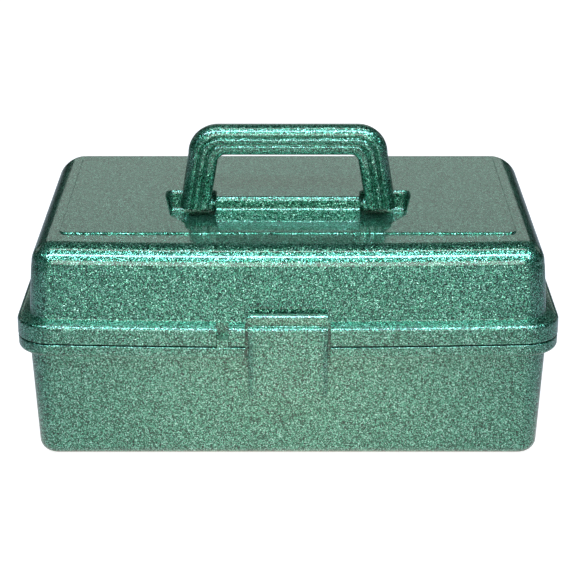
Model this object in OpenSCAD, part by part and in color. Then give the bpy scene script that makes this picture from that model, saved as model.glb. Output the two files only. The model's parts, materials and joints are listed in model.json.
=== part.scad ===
// Sewing box with a bowed glitter-plastic body, a hinged lid with a sunk fold-down handle,
// a flip-up front latch and two cantilever trays that rise and step back as the lid opens.
// Right is +X, the front faces -Y, up is +Z. The origin is at floor level, under the middle of the rim.

/* [Body] */
// Overall width across the rim
rim_w = 330; // [280:1:380]
// Rim depth from the front corners to the rear edge
rim_d = 200; // [180:1:230]
// How far the front bulges at its middle
bow = 4; // [0:0.5:8]
// Height of the seam between base and lid
seam_z = 80; // [70:1:90]
// Height of the plain top, below the raised panel
top_z = 138.2; // [130:0.1:150]
// Wall thickness of base and lid
wall = 2.2; // [1.6:0.1:3]
// Plan radius of the vertical corners
corner_r = 20; // [12:1:28]

/* [Handle] */
// Half distance across the handle at its pivots
handle_half = 69; // [60:0.1:75]
// Height of the top of the upright handle
handle_top = 186.5; // [175:0.5:200]
// Thickness of the handle, front to back
handle_t = 14; // [10:0.5:16]
// Diameter of the handle pivot pins
handle_pin_d = 4; // [3:0.1:5]

/* [Latch] */
// Width of the front latch
latch_w = 48; // [36:1:60]
// Height of the lower edge of the closed latch
latch_bottom = 47.8; // [40:0.1:60]

/* [Trays] */
// Half width of both trays
tray_half = 141.6; // [138:0.1:141.8]
// Front edge of both trays
tray_front = -84; // [-86:1:-70]
// Rear edge of both trays
tray_rear = 36; // [20:1:37]
// Height of each tray
tray_h = 26; // [20:0.5:26]
// Wall thickness of the trays
tray_wall = 1.8; // [1.4:0.1:2.4]

/* [Linkage] */
// Thickness of the swing arms
arm_t = 3; // [2.4:0.1:3]
// Diameter of the arm pins
pin_d = 4; // [3:0.1:4.4]
// Radial running clearance at every turning pin
fit = 0.06; // [0.03:0.01:0.1]

/* [Hidden] */
$fn = 48;
hw = rim_w / 2;
yf = -rim_d / 2;
yr = rim_d / 2;
gap = 0.2;
green = [0.16, 0.36, 0.30];
green_light = [0.24, 0.46, 0.38];
green_tray = [0.20, 0.42, 0.34];
steel = [0.72, 0.73, 0.74];
// pivots in the side view, as [y, z]
hinge = [105.5, seam_z];
p0 = [48, 82];
q0 = [12, 72];
p1 = [6.4, 87.7];
q1 = [-29.6, 77.7];
p2 = [-30.8, 111];
q2 = [-66.8, 101];
link_a = [10.9, 97];
link_b = [68.4, 95];
handle_axis = [4, 133.5];
latch_axis = [-101, 97];
// layers across the width, measured from the middle plane
arm_x = 143.4;
link_x = 148;
link_t = 2.6;
t1 = 70;
t2 = 96.6;
// handle recess, right half, as [x, y]
recess = [[0, 0], [47, 0], [47, 12.5], [77.5, 12.5], [77.5, 4], [72.3, -33], [68, -42], [62.5, -47.5],
  [60.5, -60], [0, -60]];
recess_out = [[0, 14.9], [79.7, 14.9], [79.7, 3.8], [74.6, -34], [70, -43.5], [64.6, -49], [62.6, -62.2],
  [0, -62.2]];

// plan outline: half width a, front y at the corners, rear y, corner radius r, bulge b
function arc(cx, cy, r, a0) = [for (i = [0:6]) [cx + r * cos(a0 + 15 * i), cy + r * sin(a0 + 15 * i)]];
function outline(a, f, k, r, b) = concat(
  arc(a - r, f + r, r, -90), arc(a - r, k - r, r, 0), arc(r - a, k - r, r, 90), arc(r - a, f + r, r, 180),
  [for (i = [1:11]) let (x = (a - r) * (i / 6 - 1)) [x, f - b * (1 - pow(x / (a - r), 2))]]);

// closed skin through a stack of outlines, each given as [a, f, k, r, b, z]
module loft(rings) {
  n = len(outline(100, -50, 50, 10, 0));
  m = len(rings);
  pts = [for (g = rings) for (p = outline(g[0], g[1], g[2], g[3], g[4])) [p[0], p[1], g[5]]];
  side = [for (j = [0:m - 2]) for (i = [0:n - 1])
    [j * n + i, (j + 1) * n + i, (j + 1) * n + (i + 1) % n, j * n + (i + 1) % n]];
  tri = [for (q = side) each [[q[0], q[1], q[2]], [q[0], q[2], q[3]]]];
  // both caps fan out from a rear corner point, c
  c = 14;
  fan = [for (i = [0:n - 3]) [c, (c + i + 1) % n, (c + i + 2) % n]];
  end = [for (f = fan) [for (i = [2:-1:0]) (m - 1) * n + f[i]]];
  polyhedron(points = pts, faces = concat(fan, tri, end), convexity = 8);
}

// one wall station: inset d from the rim edge at height z, with a share k of the bulge
function ring(d, z, k = 1) = [hw - d, yf + d, yr - d, max(4, corner_r + 2 - d), bow * k, z];
// base wall inset at height z
function base_d(z) = 10.3 - 3.2 * z / 72;
function base_k(z) = min(1, z / 72);
// lid wall inset at height z
function lid_d(z) = 6.6 + 4 * (z - seam_z) / 52;

// shoulder outline moved in by s from the wall, less at the rear
function top_ring(s, z) = let (d = lid_d(129))
  [hw - d - s, yf + d + s, yr - d - 0.42 * s, max(4, corner_r + 2 - d - s), bow, z];

// bar of half width w between two side-view points, as a flat outline
module bar(a, b, w) {
  d = (b - a) / norm(b - a);
  s = [-d[1], d[0]] * w;
  polygon([a + s, b + s, b - s, a - s]);
}

// stand a side-view outline up at x, growing away from the middle plane
module across(x, t) {
  translate([x, 0, 0]) rotate([90, 0, 90]) linear_extrude(t) children();
}

// round rod along x between x0 and x1 at a side-view point
module rod(p, r, x0, x1) {
  translate([x0, p[0], p[1]]) rotate([0, 90, 0]) cylinder(r = r, h = x1 - x0);
}

module side(s) {
  if (s < 0) mirror([1, 0, 0]) children();
  else children();
}

module both() {
  children();
  mirror([1, 0, 0]) children();
}

module base_shell() {
  z1 = seam_z - gap;
  loft(concat(
    [for (t = [0, 22.5, 45, 67.5]) ring(base_d(8) + 8 * (1 - sin(t)), 8 * (1 - cos(t)), base_k(8 * (1 - cos(t))))],
    [for (z = [8, 40, 70]) ring(base_d(z), z, base_k(z))],
    [ring(5.6, 71), ring(3, 71.8), ring(0.9, 73), ring(0.2, 74.6), ring(0.2, z1), ring(9.3, z1),
      ring(9.4, 86.4), ring(9.9, 87), ring(11.2, 87), ring(11.4, 86)],
    [for (z = [68, 40, 9]) ring(base_d(z) + wall, z, base_k(z))],
    [for (t = [67.5, 45, 22.5, 0]) ring(base_d(8) + wall + 6 * (1 - sin(t)), 2.6 + 6 * (1 - cos(t)), 0.1)]));
}

module base_tub() {
  color(green) difference() {
    union() {
      base_shell();
      // posts that carry the swing arms
      both() rod(p0, 4.5, 147, 155);
      both() rod(q0, 4.5, 147, 155);
      both() translate([151.5, q0[0] - 1.2, 60]) cube([4.2, 2.4, 8]);
      // hinge knuckles at the rear
      both() rod(hinge, 4.2, 88, 102);
      both() translate([88, 97, 75.9]) cube([14, 8, 3.8]);
      // tongue that fills the narrow slot in the lid's flange
      translate([-42.3, -103.2, 74]) cube([6.6, 4.1, 10.6]);
      // catch ridge under the latch
      translate([-17, -98, 66]) cube([34, 4, 2]);
    }
    // notch for the latch
    translate([-25.4, -110, 70]) cube([50.8, 12.4, 9.9]);
    both() rod(hinge, 1.5 + fit, 87, 103);
    both() rod(p0, pin_d / 2, 146, 151.5);
    both() rod(q0, pin_d / 2, 146, 151.5);
  }
}

module lid_skin() {
  z0 = seam_z + gap;
  loft([
    ring(22, 136), ring(16, 135.4), ring(13.6, 133), ring(12.6, 129), ring(lid_d(128) + wall, 125),
    ring(lid_d(90) + wall, 90), ring(8.8, 88), ring(8.8, z0), ring(6.6, z0), ring(6.6, 87.6),
    ring(2.3, 87.6), ring(2.2, z0), ring(0, z0), ring(0.1, 88.6), ring(0.6, 90.8), ring(1.8, 92.1),
    ring(3.6, 92.6), ring(5.6, 92.9), ring(7, 93.6), ring(lid_d(95.2), 95.2),
    top_ring(0, 129), top_ring(0.7, 132.4), top_ring(2.7, 135.5), top_ring(5.6, 137.5), top_ring(9, top_z)]);
}

// side view of the ramp in front of the middle block of the handle recess
ramp = [[1.3, 125.5], [1.3, 137.3], [-0.1, 137.3], [-0.5, 131.2], [-9.5, 126.2], [-9.5, 125.5]];

module lid_shell() {
  color(green_light) difference() {
    union() {
      lid_skin();
      // raised top panel
      translate([0, 0, top_z - 0.6]) linear_extrude(1.6)
        polygon(outline(139, -65.5, 84.5, 3, 0));
      // tub under the handle recess
      translate([0, 0, 123.8]) linear_extrude(13) both() polygon(recess_out);
      // hinge knuckles at the rear
      both() rod(hinge, 4.2, 77.5, 87.6);
      both() rod(hinge, 4.2, 102.4, 112.5);
      both() translate([77.5, 98.8, 80.3]) cube([10.1, 7.4, 3.8]);
      both() translate([102.4, 98.8, 80.3]) cube([10.1, 7.4, 3.8]);
      // posts for the lid links
      both() rod(link_b, 4.5, 151.2, 157);
    }
    // handle recess, open at the top
    translate([0, 0, 126]) linear_extrude(16) both() polygon(recess);
    // hollow under the middle block behind the recess
    translate([-40, 2.2, 120]) cube([80, 10.4, 16]);
    // latch notch and the narrow slot for a lock beside it
    translate([-25.4, -112, 79]) cube([50.8, 14.4, 19]);
    translate([-42.8, -112, 79]) cube([7.7, 13.2, 17.5]);
    both() rod(hinge, 1.5, 77, 113);
    both() rod(handle_axis, handle_pin_d / 2, 40.5, 50);
    both() rod(link_b, pin_d / 2, 150, 154.4);
  }
  color(green_light) across(-45.7, 91.4) polygon(ramp);
  // lugs that carry the latch pin
  color(green_light) both() difference() {
    union() {
      rod(latch_axis, 2.1, 13.5, 19);
      across(13.5, 5.5) translate(latch_axis)
        polygon([[-0.8, -2], [0, 0], [1.9, -1.05], [4.4, -2.6], [4.4, -8.5], [2.6, -8.5]]);
    }
    rod(latch_axis, 1, 13, 20);
  }
}

module hinge_pin(s) {
  color(steel) side(s) rod(hinge, 1.5, 77.5, 112.5);
}

// handle outline at share t from the outer edge (0) to the inner edge (1)
function leg_x(z, t) = handle_half - 0.17 * (z - 134) - 19.4 * t;
function half_path(t) =
  let (r = 19 - 14 * t, zt = handle_top - 18.9 * t, cx = leg_x(zt - r, t) - r)
  concat([[leg_x(134, t), 134]], [for (a = [0:10:90]) [cx + r * cos(a), zt - r + r * sin(a)]]);
function flip(p) = [for (i = [len(p) - 1:-1:0]) [-p[i][0], p[i][1]]];
function back(p) = [for (i = [len(p) - 1:-1:0]) p[i]];
function full_path(t) = concat(half_path(t), flip(half_path(t)));

// band of the handle between two shares, from front y0 to back y1
module band(ta, tb, y0, y1) {
  translate([0, y1, 0]) rotate([90, 0, 0]) linear_extrude(y1 - y0)
    polygon(concat(full_path(ta), back(full_path(tb))));
}

module carry_handle() {
  y0 = handle_axis[0] - handle_t / 2;
  y1 = handle_axis[0] + handle_t / 2;
  color(green) difference() {
    union() {
      difference() {
        band(0, 1, y0, y1);
        // two grooves along the front face
        band(0.24, 0.36, y0 - 1, y0 + 1.2);
        band(0.64, 0.76, y0 - 1, y0 + 1.2);
        // cored back with ribs left across it
        difference() {
          band(0.14, 0.86, y1 - 5, y1 + 1);
          for (x = [-36:18:36]) translate([x - 0.8, y1 - 6, 160]) cube([1.6, 7, 30]);
          both() translate([40, y1 - 6, 148]) cube([30, 7, 1.6]);
          both() translate([40, y1 - 6, 133]) cube([30, 7, 5]);
        }
      }
      both() rod(handle_axis, 7, 47.6, 61);
      both() translate([48.2, y0 + 0.02, 133.5]) cube([12.6, handle_t - 0.04, 2]);
    }
    both() rod(handle_axis, handle_pin_d / 2 + fit, 46, 58.5);
  }
}

module handle_pin(s) {
  color(green) side(s) rod(handle_axis, handle_pin_d / 2, 40.5, 57.5);
}

module front_latch() {
  h = latch_w / 2;
  zb = latch_bottom - latch_axis[1];
  color(green_light) difference() {
    union() {
      // face plate with its curled top
      across(-h, latch_w) translate(latch_axis) polygon([[-5.2, zb + 1], [-4.6, zb], [-2.8, zb], [-2.8, -3],
        [-2.9, -0.6], [-2, 1.7], [-0.9, 2.6], [0.8, 2.65], [0.8, 3.5], [-0.4, 3.6], [-2.2, 3.1], [-3.6, 0.6],
        [-4.7, -2.6], [-5.2, -5.6]]);
      // side cheeks
      both() across(h - 3.6, 3.6) translate(latch_axis) polygon([[-2.9, zb], [-2.9, -2], [-2, 1], [0, 2.5],
        [3, 1], [3, -24], [0.5, -30], [0, zb + 6], [-2.4, zb]]);
      both() rod(latch_axis, 3.3, h - 3.6, h);
      // closing bead
      translate([-20.6, latch_axis[0] - 3, 63]) cube([41.2, 5.7, 2.2]);
      // thumb bar along the lower edge
      translate([-20.6, latch_axis[0] - 3, latch_bottom]) cube([41.2, 3.4, 2]);
      // raised rib at each side of the face
      both() translate([h - 2.4, latch_axis[0] - 6, latch_bottom + 3]) cube([2.4, 1, 36]);
    }
    rod(latch_axis, 1 + fit, -h - 1, h + 1);
  }
}

module latch_pin() {
  color(steel) rod(latch_axis, 1, -latch_w / 2 + 0.4, latch_w / 2 - 0.4);
}

// open tray with its floor at z
module tray_body(z) {
  w = tray_wall;
  a = tray_half;
  f = tray_front;
  k = tray_rear;
  loft([[a - 2, f + 2, k - 2, 7, 0, z], [a - 0.5, f + 0.5, k - 0.5, 8.5, 0, z + 0.6], [a, f, k, 9, 0, z + 2.4],
    [a, f, k, 9, 0, z + tray_h], [a - w, f + w, k - w, 9 - w, 0, z + tray_h],
    [a - w, f + w, k - w, 9 - w, 0, z + 4], [a - w - 2, f + w + 2, k - w - 2, 9 - w - 2, 0, z + 2]]);
}

// upright wall inside a tray, x0 to x1, y0 to y1
module rib(x0, x1, y0, y1, z, h) {
  translate([x0, y0, z + 1]) cube([x1 - x0, y1 - y0, h]);
}

// slot guides that hold a removable divider at x between y0 and y1
module guides(x, y0, y1, z) {
  for (y = [y0, y1 - 1.4]) for (d = [-2.3, 0.9]) rib(x + d, x + d + 1.4, y, y + 1.4, z, 20);
}

module tray_lower() {
  color(green_tray) difference() {
    union() {
      tray_body(t1);
      rib(-tray_half + 1, tray_half - 1, -29, -27.2, t1, 21);
      rib(-0.9, 0.9, -28, tray_rear - 1, t1, 21);
      guides(-70, -27.4, tray_rear - 1.7, t1);
      guides(70, -27.4, tray_rear - 1.7, t1);
      both() rod(p1, 4.2, 136, 141.2);
      both() rod(q1, 4.2, 136, 141.2);
    }
    both() rod(p1, pin_d / 2, 137.4, 142);
    both() rod(q1, pin_d / 2, 137.4, 142);
  }
}

module tray_upper() {
  color(green_tray) difference() {
    union() {
      tray_body(t2);
      rib(-tray_half + 1, tray_half - 1, -45, -43.2, t2, 21);
      rib(-tray_half + 1, tray_half - 1, -4, -2.2, t2, 21);
      rib(-0.9, 0.9, tray_front + 1, -44, t2, 21);
      guides(-70, -43.4, -3.8, t2);
      guides(0, -43.4, -3.8, t2);
      guides(70, -43.4, -3.8, t2);
      both() rod(p2, 4.2, 136, 141.2);
      both() rod(q2, 4.2, 136, 141.2);
    }
    both() rod(p2, pin_d / 2, 137.4, 142);
    both() rod(q2, pin_d / 2, 137.4, 142);
  }
}

// loose divider plate between two guide pairs
module divider(x, y0, y1, z) {
  color(green_tray) across(x - 0.6, 1.2)
    polygon([[y0 + 0.3, z + 2], [y1 - 2.6, z + 2], [y1 - 0.3, z + 4.6], [y1 - 0.3, z + 20], [y0 + 0.3, z + 20]]);
}

// flat plate of thickness t at x: bars of half width w - 0.7 with a round eye at each point
module arm_plate(pts, w, x, t) {
  for (i = [0:len(pts) - 2]) across(x, t) bar(pts[i], pts[i + 1], w - 0.7);
  for (p = pts) rod(p, w, x, x + t);
}

module arm_rear(s) {
  color(green) side(s) difference() {
    union() {
      arm_plate([p0, p1, p2], 5.2, arm_x, arm_t);
      arm_plate([p1, link_a], 5.2, arm_x, arm_t);
      arm_plate([p0, link_a], 4.9, arm_x, arm_t);
    }
    for (p = [p0, p1, p2]) rod(p, pin_d / 2 + fit, arm_x - 1, arm_x + arm_t + 1);
    rod(link_a, pin_d / 2, arm_x - 1, arm_x + arm_t + 1);
  }
}

module arm_front(s) {
  color(green) side(s) difference() {
    arm_plate([q0, q1, q2], 5.2, arm_x, arm_t);
    for (p = [q0, q1, q2]) rod(p, pin_d / 2 + fit, arm_x - 1, arm_x + arm_t + 1);
  }
}

module lid_link(s) {
  color(green) side(s) difference() {
    arm_plate([link_a, link_b], 4.6, link_x, link_t);
    rod(link_a, pin_d / 2 + fit, link_x - 1, link_x + link_t + 1);
    rod(link_b, pin_d / 2 + fit, link_x - 1, link_x + link_t + 1);
  }
}

// headed pin from a base post inward through an arm
module base_pins(s) {
  color(steel) side(s) for (p = [p0, q0]) {
    rod(p, pin_d / 2, 142.4, 151.5);
    rod(p, 3.6, 142.4, 143.1);
  }
}

// headed pins from a tray wall outward through the arms
module tray_pins(s, a, b) {
  color(steel) side(s) for (p = [a, b]) {
    rod(p, pin_d / 2, 137.4, 147.5);
    rod(p, 3.6, 146.7, 147.5);
  }
}

module arm_link_pin(s) {
  color(steel) side(s) {
    rod(link_a, pin_d / 2, arm_x, 151.7);
    rod(link_a, 3.6, 150.9, 151.7);
    rod(link_a, 3, 146.4, 147.7);
  }
}

module lid_link_pin(s) {
  color(steel) side(s) {
    rod(link_b, pin_d / 2, 146.9, 154.4);
    rod(link_b, 3.6, 146.9, 147.7);
  }
}

base_tub();
lid_shell();
hinge_pin(-1);  // hinge_pin_left
hinge_pin(1);  // hinge_pin_right
carry_handle();
handle_pin(-1);  // handle_pin_left
handle_pin(1);  // handle_pin_right
front_latch();
latch_pin();
tray_lower();
tray_upper();
divider(-70, -27.2, tray_rear - tray_wall, t1);  // lower_divider_left
divider(70, -27.2, tray_rear - tray_wall, t1);  // lower_divider_right
divider(-70, -43.2, -4, t2);  // upper_divider_left
divider(0, -43.2, -4, t2);  // upper_divider_middle
divider(70, -43.2, -4, t2);  // upper_divider_right
arm_rear(-1);  // arm_rear_left
arm_rear(1);  // arm_rear_right
arm_front(-1);  // arm_front_left
arm_front(1);  // arm_front_right
lid_link(-1);  // lid_link_left
lid_link(1);  // lid_link_right
base_pins(-1);  // base_pins_left
base_pins(1);  // base_pins_right
tray_pins(-1, p1, q1);  // lower_tray_pins_left
tray_pins(1, p1, q1);  // lower_tray_pins_right
tray_pins(-1, p2, q2);  // upper_tray_pins_left
tray_pins(1, p2, q2);  // upper_tray_pins_right
arm_link_pin(-1);  // arm_link_pin_left
arm_link_pin(1);  // arm_link_pin_right
lid_link_pin(-1);  // lid_link_pin_left
lid_link_pin(1);  // lid_link_pin_right
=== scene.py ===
import json
import math
import bpy
import numpy as np
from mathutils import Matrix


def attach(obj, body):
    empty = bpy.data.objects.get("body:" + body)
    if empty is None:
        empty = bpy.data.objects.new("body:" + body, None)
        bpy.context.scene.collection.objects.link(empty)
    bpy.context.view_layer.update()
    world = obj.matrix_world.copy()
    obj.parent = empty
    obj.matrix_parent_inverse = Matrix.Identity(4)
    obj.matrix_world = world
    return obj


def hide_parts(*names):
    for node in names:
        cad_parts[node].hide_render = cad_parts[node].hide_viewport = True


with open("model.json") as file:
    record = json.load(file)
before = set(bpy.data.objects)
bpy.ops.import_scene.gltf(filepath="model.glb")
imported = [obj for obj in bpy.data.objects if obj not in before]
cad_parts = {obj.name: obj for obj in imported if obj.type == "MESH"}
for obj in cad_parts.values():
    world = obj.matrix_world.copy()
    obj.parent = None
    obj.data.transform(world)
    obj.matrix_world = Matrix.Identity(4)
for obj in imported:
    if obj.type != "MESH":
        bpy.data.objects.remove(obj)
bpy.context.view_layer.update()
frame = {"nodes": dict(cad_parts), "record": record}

# STUDIO. A pale floor sheet, soft boxes above and in front, and the camera.
# The long strip above the front edge draws the thin light lines along the shoulders.
# The sides stay dark, so that the rounded corners of the clear plastic fall off to near black.
MM = 0.001


def linear(hex_colour):
    """Turns an sRGB hex colour into linear red, green, blue and alpha."""
    c = np.array([int(hex_colour[i:i + 2], 16) for i in (1, 3, 5)]) / 255
    c = np.where(c <= 0.04045, c / 12.92, ((c + 0.055) / 1.055) ** 2.4)
    return (*[float(v) for v in c], 1.0)


def add_node(tree, kind, settings=None, values=None, links=None):
    """Adds one shader node: its properties, its fixed socket values, and the outputs that feed its sockets."""
    made = tree.nodes.new(kind)
    for key, value in (settings or {}).items():
        setattr(made, key, value)
    for key, value in (values or {}).items():
        made.inputs[key].default_value = value
    for key, source in (links or {}).items():
        tree.links.new(source, made.inputs[key])
    return made


scene = bpy.context.scene
scene.view_settings.view_transform = "Standard"
camera_data = bpy.data.cameras.new("camera")
camera_data.lens = 116.5
camera_data.sensor_width = 36
camera = bpy.data.objects.new("camera", camera_data)
camera.location = (0, -1.1266, 0.5317)
camera.rotation_euler = (math.radians(68), 0, 0)
scene.collection.objects.link(camera)
scene.camera = camera

floor_mesh = bpy.data.meshes.new("floor")
floor_mesh.from_pydata([(-6, -6, 0), (6, -6, 0), (6, 8, 0), (-6, 8, 0)], [], [(0, 1, 2, 3)])
floor = bpy.data.objects.new("floor", floor_mesh)
floor.location.z = -0.0002
scene.collection.objects.link(floor)
floor_paint = bpy.data.materials.new("white_card")
floor_paint.use_nodes = True
card = floor_paint.node_tree.nodes["Principled BSDF"]
card.inputs["Base Color"].default_value = linear("#a4a4a4")
card.inputs["Roughness"].default_value = 0.9
card.inputs["Specular IOR Level"].default_value = 0.1
card.inputs["Emission Color"].default_value = (1, 1, 1, 1)
# the card glows white for the lens; for everything else only a pool of light in front of the box, fading by 0.55 m
seen = add_node(floor_paint.node_tree, "ShaderNodeLightPath")
on_card = add_node(floor_paint.node_tree, "ShaderNodeTexCoord").outputs["Object"]
spot = add_node(floor_paint.node_tree, "ShaderNodeMapping", None,
                {"Location": (0, 0.42, 0), "Scale": (2.4, 1.9, 1)}, {"Vector": on_card})
pool = add_node(floor_paint.node_tree, "ShaderNodeTexGradient", {"gradient_type": "QUADRATIC_SPHERE"}, None,
                {"Vector": spot.outputs[0]})
lit = add_node(floor_paint.node_tree, "ShaderNodeMath", {"operation": "MULTIPLY_ADD"}, {1: 1.25, 2: 0.01},
               {0: pool.outputs["Fac"]})
glow = add_node(floor_paint.node_tree, "ShaderNodeMapRange", None, {"To Max": 0.92},
                {"Value": seen.outputs["Is Camera Ray"], "To Min": lit.outputs[0]})
floor_paint.node_tree.links.new(glow.outputs[0], card.inputs["Emission Strength"])
hue = add_node(floor_paint.node_tree, "ShaderNodeMixRGB", None,
               {"Color1": linear("#ffe2d4"), "Color2": linear("#ffffff")}, {"Fac": seen.outputs["Is Camera Ray"]})
floor_paint.node_tree.links.new(hue.outputs[0], card.inputs["Emission Color"])
floor_mesh.materials.append(floor_paint)

world = bpy.data.worlds.new("studio")
world.use_nodes = True
air = world.node_tree
looked_at = add_node(air, "ShaderNodeLightPath")
strength = add_node(air, "ShaderNodeMapRange", None, {"To Min": 0.005, "To Max": 1.0},
                    {"Value": looked_at.outputs["Is Camera Ray"]})
air.links.new(strength.outputs["Result"], air.nodes["Background"].inputs["Strength"])
air.nodes["Background"].inputs["Color"].default_value = (1, 1, 1, 1)
scene.world = world


def soft_box(name, place, aim, size, power, tint="#ffffff"):
    """A rectangular area light at place, facing aim."""
    lamp = bpy.data.lights.new(name, "AREA")
    lamp.shape = "RECTANGLE"
    lamp.size, lamp.size_y = size
    lamp.energy = power
    lamp.color = linear(tint)[:3]
    holder = bpy.data.objects.new(name, lamp)
    holder.location = place
    toward = np.array(aim, float) - np.array(place, float)
    flat = math.hypot(toward[0], toward[1])
    holder.rotation_euler = (math.atan2(flat, -toward[2]), 0, math.atan2(toward[0], -toward[1]) + math.pi)
    scene.collection.objects.link(holder)


soft_box("strip_above", (0.0, -0.1, 1.65), (0, 0, 0.1), (1.6, 0.14), 4.5)
soft_box("strip_front", (0.0, -0.92, 1.42), (0, 0, 0.1), (2.6, 0.24), 46, "#cde8ff")
soft_box("front_box", (0.0, -2.4, 0.75), (0, 0, 0.08), (1.6, 1.0), 20)
soft_box("back_panel", (0.0, 2.3, 1.0), (0, 0, 0.13), (2.0, 0.7), 3.4, "#ecfff6")
soft_box("left_rear", (-1.9, 1.5, 0.9), (0, 0, 0.08), (0.8, 0.8), 1.0)
soft_box("right_rear", (1.9, 1.5, 0.9), (0, 0, 0.08), (0.8, 0.8), 1.0)

# BASE TUB. The lower half of the box, moulded in green polystyrene with glitter in it.
# Drafted walls, a rolled rim that the lid's flange sits on, an inner lip, and a bowed front.
# The posts for the swing arms and the hinge knuckles are moulded with it.
RIM_HALF = 165.0
RIM_Y = 100.0
BOW = 4.0
SEAM = 80.0
GAP = 0.45
NOTCH_HALF = 25.7
KNUCKLE_R = 4.2
POST_R = 4.5
WALL = 2.2
CORNER = 22.0
HINGE = (105.5, SEAM)
ARM_POSTS = ((48.0, 82.0), (12.0, 72.0))


def glitter_polystyrene(name, dark, middle, light, spark):
    """Moulded clear-tinted polystyrene filled with metallised flakes about 0.3 mm across.
    Each cell of a Voronoi pattern is one flake with its own tilt and tone, under a smooth clear skin.
    Real flakes are too fine to show one by one, so the cells are drawn at 0.55 mm and 0.35 mm."""
    paint = bpy.data.materials.new(name)
    paint.use_nodes = True
    tree = paint.node_tree
    shader = tree.nodes["Principled BSDF"]
    where = add_node(tree, "ShaderNodeTexCoord").outputs["Object"]
    coarse = add_node(tree, "ShaderNodeTexVoronoi", {"feature": "F1"}, {"Scale": 1 / (0.55 * MM)}, {"Vector": where})
    fine = add_node(tree, "ShaderNodeTexVoronoi", {"feature": "F1"}, {"Scale": 1 / (0.35 * MM)}, {"Vector": where})
    cloud = add_node(tree, "ShaderNodeTexNoise", None, {"Scale": 1 / (60 * MM), "Detail": 2.0}, {"Vector": where})
    tone_a = add_node(tree, "ShaderNodeTexWhiteNoise", None, None, {"Vector": coarse.outputs["Position"]})
    tone_b = add_node(tree, "ShaderNodeSeparateColor", None, None, {"Color": fine.outputs["Color"]})
    half = add_node(tree, "ShaderNodeMath", {"operation": "MULTIPLY"}, {1: 0.5}, {0: tone_a.outputs["Value"]})
    tone = add_node(tree, "ShaderNodeMath", {"operation": "MULTIPLY_ADD"}, {1: 0.5},
                    {0: tone_b.outputs[0], 2: half.outputs[0]})
    drift = add_node(tree, "ShaderNodeMath", {"operation": "MULTIPLY_ADD"}, {1: 0.05},
                     {0: cloud.outputs["Fac"], 2: tone.outputs[0]})
    ramp = add_node(tree, "ShaderNodeValToRGB", None, None, {"Fac": drift.outputs[0]})
    stops = ramp.color_ramp.elements
    stops[0].position, stops[0].color = 0.30, linear(dark)
    stops[1].position, stops[1].color = 0.94, linear(spark)
    for at, colour in ((0.52, middle), (0.74, light)):
        stops.new(at).color = linear(colour)
    # flake tilt: the cell's random colour, centred, is added to the surface normal
    face = add_node(tree, "ShaderNodeNewGeometry").outputs["Normal"]
    centred = add_node(tree, "ShaderNodeVectorMath", {"operation": "SUBTRACT"}, {1: (0.5, 0.5, 0.5)},
                       {0: coarse.outputs["Color"]})
    tilt = add_node(tree, "ShaderNodeVectorMath", {"operation": "MULTIPLY_ADD"}, {1: (0.48, 0.48, 0.48)},
                    {0: centred.outputs[0], 2: face})
    flake = add_node(tree, "ShaderNodeVectorMath", {"operation": "NORMALIZE"}, None, {0: tilt.outputs[0]})
    tree.links.new(ramp.outputs["Color"], shader.inputs["Base Color"])
    tree.links.new(flake.outputs[0], shader.inputs["Normal"])
    shader.inputs["Metallic"].default_value = 0.85
    shader.inputs["Roughness"].default_value = 0.28
    shader.inputs["IOR"].default_value = 1.59
    shader.inputs["Coat Weight"].default_value = 1.0
    shader.inputs["Coat Roughness"].default_value = 0.11
    shader.inputs["Coat IOR"].default_value = 1.59
    return paint


body_plastic = glitter_polystyrene("glitter_polystyrene", "#02150f", "#1f6a4b", "#64c09c", "#c8fae8")


def plan(a, f, k, r, b):
    """Plan outline, anticlockwise: four corner arcs of radius r joined by straight sides a from the middle,
    with the front side pushed out by b times one minus the square of the share of its half length."""
    quarter = np.radians(np.linspace(0, 90, 15))
    s = np.linspace(-1, 1, 26)[1:-1]

    def corner(cx, cy, turn):
        return np.c_[cx + r * np.cos(quarter + turn), cy + r * np.sin(quarter + turn)]

    t = np.linspace(0, 1, 10)[1:-1, None]
    right_low, right_high = np.array([a, f + r]), np.array([a, k - r])
    back_high, back_low = np.array([a - r, k]), np.array([r - a, k])
    return np.vstack([
        corner(a - r, f + r, -np.pi / 2), right_low + (right_high - right_low) * t,
        corner(a - r, k - r, 0), back_high + (back_low - back_high) * t,
        corner(r - a, k - r, np.pi / 2), (right_high + (right_low - right_high) * t) * [-1, 1],
        corner(r - a, f + r, np.pi), np.c_[s * (a - r), f - b * (1 - s ** 2)]])


def new_piece(name, parts):
    """One mesh from several closed (points in mm, faces) surfaces."""
    points = np.vstack([p for p, _ in parts]) * MM
    starts = np.cumsum([0] + [len(p) for p, _ in parts])
    faces = [[int(i) + int(start) for i in f] for (_, fs), start in zip(parts, starts) for f in fs]
    mesh = bpy.data.meshes.new(name)
    mesh.from_pydata(points.tolist(), [], faces)
    mesh.update()
    piece = bpy.data.objects.new(name, mesh)
    scene.collection.objects.link(piece)
    return piece


def loft(rings):
    """Closed skin through a stack of outlines with equal counts: quads between neighbours, a flat cap at each end."""
    rings = np.array(rings)
    m, n = rings.shape[:2]
    j, i = np.meshgrid(np.arange(m - 1), np.arange(n), indexing="ij")
    nxt = (i + 1) % n
    quads = np.stack([j * n + i, j * n + nxt, (j + 1) * n + nxt, (j + 1) * n + i], -1).reshape(-1, 4)
    caps = [list(range(n))[::-1], list(range((m - 1) * n, m * n))]
    return rings.reshape(-1, 3), quads.tolist() + caps


def level(outline, z):
    """An outline lifted to height z."""
    return np.c_[outline, np.full(len(outline), z)]


def wall_ring(d, z, k=1.0):
    """The rim outline moved in by d at height z, with a share k of the front bow."""
    return level(plan(RIM_HALF - d, -RIM_Y + d, RIM_Y - d, max(4.0, CORNER - d), BOW * k), z)


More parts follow.
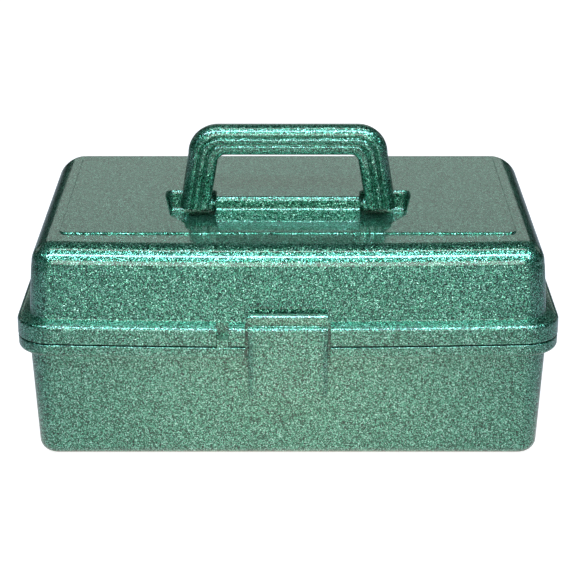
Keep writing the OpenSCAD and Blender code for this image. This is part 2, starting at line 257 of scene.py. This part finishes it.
def bend(d0, z0, d1, z1, steps, tall_first=True):
    """Quarter-ellipse of wall stations from (d0, z0) to (d1, z1); tall_first leaves the start upright."""
    a = np.linspace(0, np.pi / 2, steps + 1)[1:]
    u, w = (1 - np.cos(a), np.sin(a)) if tall_first else (np.sin(a), 1 - np.cos(a))
    return [wall_ring(d0 + (d1 - d0) * x, z0 + (z1 - z0) * y) for x, y in zip(u, w)]


def rod(p, r, x0, x1, soft=0.3):
    """Round bar along X through the side-view point p, its end edges rounded by soft."""
    a = np.linspace(0, 2 * np.pi, 41)[:-1]
    x = np.array([x0, x0 + soft, x1 - soft, x1])
    rr = np.array([r - soft, r, r, r - soft])
    rings = [np.c_[np.full(40, xx), p[0] + q * np.cos(a), p[1] + q * np.sin(a)] for xx, q in zip(x, rr)]
    return loft(rings)


def block(lo, hi):
    """Plain six-sided solid between two corners."""
    corners = [[(lo, hi)[i][0], (lo, hi)[j][1], (lo, hi)[k][2]] for k in (0, 1) for j in (0, 1) for i in (0, 1)]
    sides = [(0, 2, 3, 1), (4, 5, 7, 6), (0, 1, 5, 4), (2, 6, 7, 3), (0, 4, 6, 2), (1, 3, 7, 5)]
    return np.array(corners, float), sides


def mirrored(part):
    """The part reflected left to right, with its faces turned back outwards."""
    points, faces = part
    return points * [-1, 1, 1], [list(f)[::-1] for f in faces]


def carve(piece, parts, how="DIFFERENCE"):
    """Joins closed parts to the piece, or cuts them from it, and keeps the result as its mesh."""
    for part in parts:
        tool = new_piece("tool", [part])
        step = piece.modifiers.new("carve", "BOOLEAN")
        step.operation, step.object, step.solver = how, tool, "EXACT"
        graph = bpy.context.evaluated_depsgraph_get()
        made = bpy.data.meshes.new_from_object(piece.evaluated_get(graph))
        piece.modifiers.clear()
        old, piece.data = piece.data, made
        made.name = piece.name
        bpy.data.meshes.remove(old)
        bpy.data.objects.remove(tool)


def finish_piece(piece, paint, body, nodes, angle=32):
    """Smooth shading broken at edges sharper than angle, the material, and what the piece rides on and stands for."""
    piece.data.materials.clear()
    piece.data.materials.append(paint)
    piece.data.shade_smooth()
    piece.data.set_sharp_from_angle(angle=math.radians(angle))
    weigh = piece.modifiers.new("even_shading", "WEIGHTED_NORMAL")
    weigh.keep_sharp = True
    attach(piece, body)
    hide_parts(*nodes)


def base_inset(z):
    """How far the drafted wall stands inside the rim at height z: 10.3 mm at the foot, 3.2 mm less at 72 mm."""
    return 10.3 - 3.2 * z / 72


def base_bow(z):
    """Share of the front bow at height z, from none at the foot to all of it at 72 mm."""
    return min(1.0, max(0.0, z / 72))


base_top = SEAM - GAP
turn = np.radians(np.linspace(0, 90, 9))
base_rings = [wall_ring(base_inset(8) + 8 * (1 - math.sin(t)), 8 * (1 - math.cos(t)), base_bow(8 * (1 - math.cos(t))))
              for t in turn]
base_rings += [wall_ring(base_inset(z), z, base_bow(z)) for z in (20, 34, 48, 60, 69.5)]
base_rings += bend(base_inset(69.5), 69.5, 5.2, 71.6, 4)
base_rings += [wall_ring(3.0, 71.8)]
base_rings += bend(3.0, 71.8, 0.2, 74.6, 6, tall_first=False)
base_rings += [wall_ring(0.2, 78.9)] + bend(0.2, 78.9, 0.9, base_top, 3)
base_rings += [wall_ring(8.9, base_top), wall_ring(9.3, base_top + 0.4), wall_ring(9.4, 86.2)]
base_rings += bend(9.4, 86.2, 10.2, 87, 3) + bend(10.4, 87, 11.2, 86.2, 3, tall_first=False)
base_rings += [wall_ring(base_inset(z) + WALL, z, base_bow(z)) for z in (68, 40, 9)]
base_rings += [wall_ring(base_inset(8) + WALL + 6 * (1 - math.sin(t)), 2.6 + 6 * (1 - math.cos(t)), 0.1)
               for t in turn[::-2]]
tub = new_piece("base_tub_moulding", [loft(base_rings)])
carve(tub, [block((-NOTCH_HALF, -112, 69.8), (NOTCH_HALF, -95, 79.9))])
moulded_on = [rod(p, POST_R, 147, 155) for p in ARM_POSTS]
moulded_on += [block((151.5, 10.8, 60), (155.7, 13.2, 68)), rod(HINGE, KNUCKLE_R, 88, 102),
               block((88.3, 97, 75.9), (101.7, 105, 79.7))]
tongue = block((-42.6, -103.3, 74), (-35.8, -97.5, 84.8))
carve(tub, moulded_on + [mirrored(p) for p in moulded_on] + [tongue, block((-17, -98, 66), (17, -94, 68))], "UNION")
finish_piece(tub, body_plastic, "base", ["base_tub"])

# LID. The upper half: a wide flange that covers the rim, drafted walls, a soft shoulder all round,
# a raised panel on the top, and a sunk tray for the folded handle. Same plastic, one moulding.
TOP = 138.2
PANEL = (139.0, -65.5, 84.5)
PANEL_R = 5.0
HANDLE_AXIS = (4.0, 133.5)
LATCH_AXIS = (-101.0, 97.0)
LINK_POST = (68.4, 95.0)


def lid_inset(z):
    """How far the lid's wall stands inside the rim at height z: 6.6 mm at the seam, leaning in 4 mm in 52 mm."""
    return 6.6 + 4 * (z - SEAM) / 52


def panel_ring(d, z):
    """The raised panel's outline moved in by d at height z."""
    return level(plan(PANEL[0] - d, PANEL[1] + d, PANEL[2] - d, PANEL_R - d, 0.0), z)


def rounded(points, radii, steps=8):
    """Closed polygon with each corner replaced by steps points of an arc of its own radius."""
    pts = np.array(points, float)
    before, after = np.roll(pts, 1, 0), np.roll(pts, -1, 0)
    out = []
    for p, q, s, r in zip(pts, before, after, radii):
        u, v = (q - p) / np.linalg.norm(q - p), (s - p) / np.linalg.norm(s - p)
        half = math.acos(np.clip(u @ v, -1, 1)) / 2
        reach = r / math.tan(half)
        mid = p + (u + v) / np.linalg.norm(u + v) * r / math.sin(half)
        a, b = p + u * reach - mid, p + v * reach - mid
        sweep = math.pi - 2 * half
        w = np.linspace(0, 1, steps)[:, None]
        out.append(mid + (np.sin((1 - w) * sweep) * a + np.sin(w * sweep) * b) / math.sin(sweep))
    return np.vstack(out)


def grown(outline, d):
    """The outline moved outwards by d along the mean normal of its two neighbouring edges."""
    ahead, behind = np.roll(outline, -1, 0) - outline, outline - np.roll(outline, 1, 0)
    run = ahead / np.linalg.norm(ahead, axis=1)[:, None] + behind / np.linalg.norm(behind, axis=1)[:, None]
    run /= np.linalg.norm(run, axis=1)[:, None]
    return outline + d * np.c_[run[:, 1], -run[:, 0]]


RECESS = [(60.5, -60), (62.5, -47.5), (72.3, -33), (77.5, 4), (77.5, 12.5), (47, 12.5), (47, 0)]
RECESS_R = [6, 5, 8, 14, 4, 3.2, 2.8]
recess = rounded(RECESS + [(-x, y) for x, y in RECESS[::-1]], RECESS_R + RECESS_R[::-1])
recess_rings = [level(grown(recess, d), z) for d, z in (
    (-2.4, 126.0), (-1.4, 126.2), (-0.6, 126.8), (-0.15, 127.8), (0, 129), (0.1, 136.6), (0.25, 137.6), (0.6, 138.4),
    (1.1, 138.95), (1.7, 139.2), (1.9, 139.3), (1.9, 143))]
TUB_WALL = [(62.6, -62.2), (64.6, -49), (74.6, -34), (79.7, 3.8), (79.7, 14.9)]
tub_wall = rounded(TUB_WALL + [(-x, y) for x, y in TUB_WALL[::-1]], [6, 6, 8, 14, 4, 4, 14, 8, 6, 6])

# side view of the ramp that comes down from the block between the handle's feet to the recess floor
RAMP = rounded([(1.3, 125.1), (1.3, 137.3), (-0.1, 137.3), (-0.5, 131.2), (-9.5, 126.25), (-9.5, 125.1)],
               [0.1, 0.1, 0.6, 2.2, 0.5, 0.1], 6)

lid_bottom = SEAM + GAP
lid_rings = [wall_ring(24, 136), wall_ring(19, 135.8)] + bend(19, 135.8, 12.6, 127, 6, tall_first=False)
lid_rings += [wall_ring(lid_inset(z) + WALL, z) for z in (125, 108, 90)]
lid_rings += [wall_ring(8.8, 88), wall_ring(8.8, lid_bottom), wall_ring(6.7, lid_bottom), wall_ring(6.6, 87.6),
              wall_ring(2.3, 87.6), wall_ring(2.2, lid_bottom), wall_ring(0.6, lid_bottom)]
lid_rings += bend(0.6, lid_bottom, 0.0, lid_bottom + 0.6, 3, tall_first=False)
lid_rings += [wall_ring(0.1, 89.6)] + bend(0.1, 89.6, 2.9, 92.4, 8)
lid_rings += [wall_ring(6.9, 93.6)] + bend(6.9, 93.6, lid_inset(94.4), 94.4, 2, tall_first=False)
lid_rings += [wall_ring(lid_inset(z), z) for z in (104, 111, 118, 123)]
SHOULDER = 13.6
for a in np.linspace(0, np.pi / 2, 17):
    # quarter ellipse of the shoulder, drawn in less at the rear than at the front and sides
    d, e = lid_inset(125.4) + SHOULDER * np.array([1.0, 0.14]) * (1 - math.cos(a))
    lid_rings.append(level(plan(RIM_HALF - d, d - RIM_Y, RIM_Y - e, max(4.0, CORNER - 0.8 * d), BOW),
                           125.4 + (TOP - 125.4) * math.sin(a)))
lid_rings += [panel_ring(-0.6, TOP), panel_ring(-0.2, TOP + 0.15), panel_ring(0.0, TOP + 0.5),
              panel_ring(0.2, TOP + 0.85), panel_ring(0.7, TOP + 1.0), panel_ring(2.5, TOP + 1.0)]
lid = new_piece("lid_moulding", [loft(lid_rings)])
carve(lid, [loft([level(tub_wall, 123.8), level(tub_wall, 136.8)])], "UNION")
carve(lid, [loft(recess_rings), block((-40, 2.2, 120), (40, 12.6, 136)),
            block((-NOTCH_HALF, -113, 79), (NOTCH_HALF, -97.0, 98)), block((-43.0, -113, 79), (-35.4, -97.05, 94))])
lid_moulded_on = [rod(HINGE, KNUCKLE_R, 77.5, 87.6), rod(HINGE, KNUCKLE_R, 102.4, 112.5),
                  rod(LINK_POST, POST_R, 151.2, 157), block((77.8, 98.8, 80.3), (87.3, 106.2, 84.1)),
                  block((102.7, 98.8, 80.3), (112.2, 106.2, 84.1))]
carve(lid, [loft([np.c_[np.full(len(RAMP), x), RAMP] for x in (-45.7, 45.7)])], "UNION")
lug_side = np.array([[-0.8, -2], [4.4, -8.5], [4.4, -2.6], [1.9, -1.05], [0, 0]]) + LATCH_AXIS
lid_moulded_on += [rod(LATCH_AXIS, 2.1, 13.5, 19), loft([np.c_[np.full(5, x), lug_side] for x in (13.6, 18.9)])]
carve(lid, lid_moulded_on + [mirrored(p) for p in lid_moulded_on], "UNION")
finish_piece(lid, body_plastic, "lid", ["lid_shell"])

# CARRY HANDLE. A U-shaped bail moulded in the same plastic, ridged on its front, cored out behind,
# with a round lug inside each leg that turns on a moulded stud. It folds forward into the lid.
HANDLE_HALF = 69.0
HANDLE_TOP = 186.5
BAND = 19.4


def handle_edge(t, s_leg, s_arc, s_top):
    """Right half of the handle's outline at share t across its width: up the leg, round the corner, along the grip.
    The leg leans in by 0.17 of its height, and the corner radius falls from 19 mm outside to 5 mm inside."""
    r = 19 - 14 * t
    top = HANDLE_TOP - 18.9 * t
    z_arc = top - r

    def lean(z):
        return HANDLE_HALF - 0.17 * (z - 134) - BAND * t

    cx = lean(z_arc) - r
    z_leg = 131.8 + (z_arc - 131.8) * s_leg
    leg = np.c_[lean(z_leg), z_leg]
    arc = np.c_[cx + r * np.cos(s_arc), z_arc + r * np.sin(s_arc)]
    grip = np.c_[cx * (1 - s_top), np.full(len(s_top), top)]
    return np.vstack([leg, arc, grip])


s_leg, s_arc, s_top = np.linspace(0, 1, 10)[:-1], np.radians(np.linspace(0, 90, 16)), np.linspace(0, 1, 16)[1:]


def whole(half):
    """Both halves of the handle's outline, from the right foot over the grip to the left foot."""
    return np.vstack([half, (half * [-1, 1])[::-1][1:]])


outer_edge, inner_edge = (whole(handle_edge(t, s_leg, s_arc, s_top)) for t in (0.0, 1.0))
# cross-section, as share across the band and depth from the front, two grooves in
# front that leave three ridges, and a cored back
front_t = np.hstack([0.06 * np.linspace(0, 1, 9) ** 2, np.linspace(0.07, 1.0, 72)])
grooves = 1.35 * (np.exp(-((front_t - 0.385) / 0.042) ** 2) + np.exp(-((front_t - 0.635) / 0.042) ** 2))
edge_round = (6.6 * (1 - np.sqrt(1 - np.clip(1 - front_t / 0.33, 0, 1) ** 2))
              + 2.6 * (1 - np.sqrt(1 - np.clip(1 - (1 - front_t) / 0.14, 0, 1) ** 2)))
crown = 0.9 * (front_t - 0.18) ** 2
front_y = -7 + grooves + edge_round + crown
back = np.array([(1.0, 6.0), (0.985, 6.7), (0.95, 7.0), (0.88, 7.0), (0.86, 6.8), (0.855, 2.0), (0.145, 2.0),
                 (0.14, 5.6), (0.11, 5.5), (0.06, 4.4), (0.02, 2.6), (0.0, 0.8)])
section = np.vstack([np.c_[front_t, front_y], back])[::-1]
rings = []
for share, depth in section:
    path = outer_edge + (inner_edge - outer_edge) * share
    rings.append(np.c_[path[:, 0], np.full(len(path), HANDLE_AXIS[0] + depth), path[:, 1]])
ribs = [block((x - 0.8, 5.5, 171.6), (x + 0.8, 9.2, 184.0)) for x in range(-36, 37, 18)]
side_ribs = [block((48.4, 5.5, 148.0), (60.6, 9.2, 149.6))]
foot = [block((49.8, 5.5, 132.2), (65.0, 9.4, 139.0)), rod(HANDLE_AXIS, 3.6, 47.6, 61, 0.8),
        block((49.2, -1.6, 132.0), (62.0, 9.4, 136.0))]
handle = new_piece("carry_handle_moulding", [loft(np.array(rings).transpose(1, 0, 2))])
carve(handle, ribs + [q for p in side_ribs + foot for q in (p, mirrored(p))], "UNION")
finish_piece(handle, body_plastic, "handle", ["carry_handle"], 28)

# FRONT LATCH. A moulded plate that hangs from a wire in the lid's flange: a round barrel on top, a small ledge,
# a bent shoulder, and a flat face with a soft rib down each side and a plain thumb band along the lower edge.
LATCH_HALF = 24.0
LATCH_LOW = 47.8 - LATCH_AXIS[1]


def across(outline, x0, x1):
    """A side-view outline, anticlockwise seen from the right, carried along X."""
    return loft([np.c_[np.full(len(outline), x), outline + LATCH_AXIS] for x in (x0, x1)])


plate_side = rounded([(-5.2, LATCH_LOW), (-2.8, LATCH_LOW), (-2.8, -7), (-1.6, -5), (-1.2, 1.2), (0.8, 2.6), (0.8, 3.5),
                      (-3.0, 3.7), (-3.8, 2.7), (-2.5, -3.5), (-5.3, -4.5)],
                     [0.8, 0.3, 1.2, 1.2, 1.2, 0.3, 0.3, 0.4, 0.6, 0.5, 2.3], 8)
drop = np.linspace(LATCH_LOW + 1, -7, 12)[1:-1]
plate_side = np.vstack([plate_side, np.c_[np.full(10, -5.2), drop[::-1]]])


def latch_station(x):
    """The plate's side view at x. The front face swells by 0.7 mm over a soft rib centred 3.4 mm from the edge,
    then falls back 2.1 mm along a quarter ellipse 3 mm wide; both fade out above the shoulder."""
    edge = LATCH_HALF - abs(x)
    back = 2.1 * (1 - math.sqrt(max(0.0, 1 - max(0.0, 1 - edge / 3.0) ** 2)))
    rib = 0.7 * math.exp(-((edge - 3.4) / 1.1) ** 2)
    front = np.clip((-2.8 - plate_side[:, 0]) / 2.4, 0, 1)
    low = np.clip((-8 - plate_side[:, 1]) / 6, 0, 1)
    shift = front * (back * (0.35 + 0.65 * low) - rib * low)
    return np.c_[np.full(len(plate_side), x), plate_side + np.c_[shift, 0 * shift] + LATCH_AXIS]


near_edge = LATCH_HALF - 3.0 * (1 - np.cos(np.radians(np.linspace(0, 90, 10))))
stations = np.hstack([near_edge, np.arange(20.5, 16.4, -0.5)])
latch = new_piece("front_latch_moulding", [loft([latch_station(x) for x in np.hstack([-stations, stations[::-1]])])])
cheek_side = np.array([(-2.9, -2), (-2.9, LATCH_LOW + 0.3), (-2.4, LATCH_LOW + 0.3), (0, LATCH_LOW + 6), (0.5, -30),
                       (3, -24), (3, 0), (0, 2.5), (-2, 1)])
cheek = across(cheek_side, LATCH_HALF - 3.6, LATCH_HALF - 0.4)
barrel = rod(LATCH_AXIS, 3.3, LATCH_HALF - 3.6, LATCH_HALF - 0.3)
closer = block((-20.4, -104, 63), (20.4, -98.3, 65.2))
thumb = block((-20.4, -104, 47.9), (20.4, -100.6, 49.8))
carve(latch, [cheek, mirrored(cheek), barrel, mirrored(barrel), closer, thumb], "UNION")
finish_piece(latch, body_plastic, "latch", ["front_latch"], 40)

# TRAYS. Two open lift-up trays moulded in the same plastic, thinner and a little lighter, each in one shot with
# its fixed partitions, the slot guides for the loose dividers and a boss at each end for the arm pins.
tray_plastic = glitter_polystyrene("glitter_polystyrene_thin", "#0b2c23", "#2f7358", "#6fc09f", "#cdf8e8")
TRAY = (141.6, -84.0, 36.0, 9.0)
TRAY_WALL = 1.8
TRAY_H = 26.0


def tray_ring(d, z):
    """The tray's outline moved in by d at height z."""
    return level(plan(TRAY[0] - d, TRAY[1] + d, TRAY[2] - d, TRAY[3] - d, 0.0), z)


def soft_slab(x, y, z, r=0.45):
    """An upright wall between two x, two y and two z, its top edges and upright corners rounded by r."""
    (x0, x1), (y0, y1), (z0, z1) = x, y, z
    q = np.radians(np.linspace(0, 90, 5))
    turn_xy = [(x1 - r, y0 + r, -90), (x1 - r, y1 - r, 0), (x0 + r, y1 - r, 90), (x0 + r, y0 + r, 180)]

    def ring(inset, zz):
        s = r - inset
        return level(np.vstack([np.c_[cx + s * np.cos(q + math.radians(t)), cy + s * np.sin(q + math.radians(t))]
                                for cx, cy, t in turn_xy]), zz)

    return loft([ring(0, z0)] + [ring(0.95 * r * (1 - math.cos(a)), z1 - r + r * math.sin(a)) for a in q])


def tray_moulding(name, z, walls, guides, pins):
    """The tray shell with its floor at z, then its partitions, divider guides and pin bosses joined on."""
    inner = TRAY_WALL + 3.0
    rings = [tray_ring(2.2 * (1 - math.sin(a)), z + 2.2 * (1 - math.cos(a)))
             for a in np.radians([0, 20, 40, 60, 75, 90])]
    rings += [tray_ring(0, z + 14), tray_ring(0, z + TRAY_H - 0.9)]
    rings += [tray_ring(0.9 * (1 - math.cos(a)), z + TRAY_H - 0.9 + 0.9 * math.sin(a))
              for a in np.radians([22, 45, 68, 90, 112, 135, 158])]
    rings += [tray_ring(TRAY_WALL, z + TRAY_H - 0.9), tray_ring(TRAY_WALL, z + 14)]
    rings += [tray_ring(TRAY_WALL + 3.0 * (1 - math.cos(a)), z + 5 - 3.0 * math.sin(a))
              for a in np.radians([0, 22, 45, 68, 90])] + [tray_ring(inner + 2, z + 2)]
    tray = new_piece(name, [loft(rings)])
    parts = [soft_slab(x, y, (z + 1, z + 22)) for x, y in walls]
    for x, y0, y1 in guides:
        parts += [soft_slab((x + d, x + d + 1.4), (y, y + 1.4), (z + 1, z + 21), 0.3)
                  for y in (y0, y1 - 1.4) for d in (-2.3, 0.9)]
    parts += [part for p in pins for part in (rod(p, 4.2, 136, 141.2), mirrored(rod(p, 4.2, 136, 141.2)))]
    carve(tray, parts, "UNION")
    holes = [rod(p, 1.0, 137.4, 143, 0.1) for p in pins]
    carve(tray, holes + [mirrored(h) for h in holes])
    return tray


lower_tray = tray_moulding("tray_lower_moulding", 70.0,
                           [((-140.6, 140.6), (-29, -27.2)), ((-0.9, 0.9), (-28, 35))],
                           [(-70, -27.4, 34.3), (70, -27.4, 34.3)], [(6.4, 87.7), (-29.6, 77.7)])
finish_piece(lower_tray, tray_plastic, "tray_lower", ["tray_lower"])
upper_tray = tray_moulding("tray_upper_moulding", 96.6,
                           [((-140.6, 140.6), (-45, -43.2)), ((-140.6, 140.6), (-4, -2.2)), ((-0.9, 0.9), (-83, -44))],
                           [(-70, -43.4, -3.8), (0, -43.4, -3.8), (70, -43.4, -3.8)], [(-30.8, 111), (-66.8, 101)])
finish_piece(upper_tray, tray_plastic, "tray_upper", ["tray_upper"])

# DIVIDERS, ARMS, LINKS AND PINS. The loose dividers, swing arms and lid links keep their own solids, in the tray's
# plastic and the body's, with plain drawn steel for every pin and rivet.
steel = bpy.data.materials.new("drawn_steel_wire")
steel.use_nodes = True
steel_tree = steel.node_tree
steel_shader = steel_tree.nodes["Principled BSDF"]
steel_where = add_node(steel_tree, "ShaderNodeTexCoord").outputs["Object"]
drawn = add_node(steel_tree, "ShaderNodeTexNoise", None, {"Scale": 1 / (0.4 * MM), "Detail": 3.0},
                 {"Vector": steel_where})
worn = add_node(steel_tree, "ShaderNodeMapRange", None, {"To Min": 0.22, "To Max": 0.4},
                {"Value": drawn.outputs["Fac"]})
steel_tree.links.new(worn.outputs["Result"], steel_shader.inputs["Roughness"])
steel_shader.inputs["Base Color"].default_value = linear("#c3c4c6")
steel_shader.inputs["Metallic"].default_value = 1.0
paints = {"glitter_plastic": body_plastic, "tray_plastic": tray_plastic, "steel_wire": steel}
for part in frame["record"]["subparts"]:
    node = frame["nodes"][part["node"]]
    node.data.materials.clear()
    node.data.materials.append(paints[part["material_slot"]])
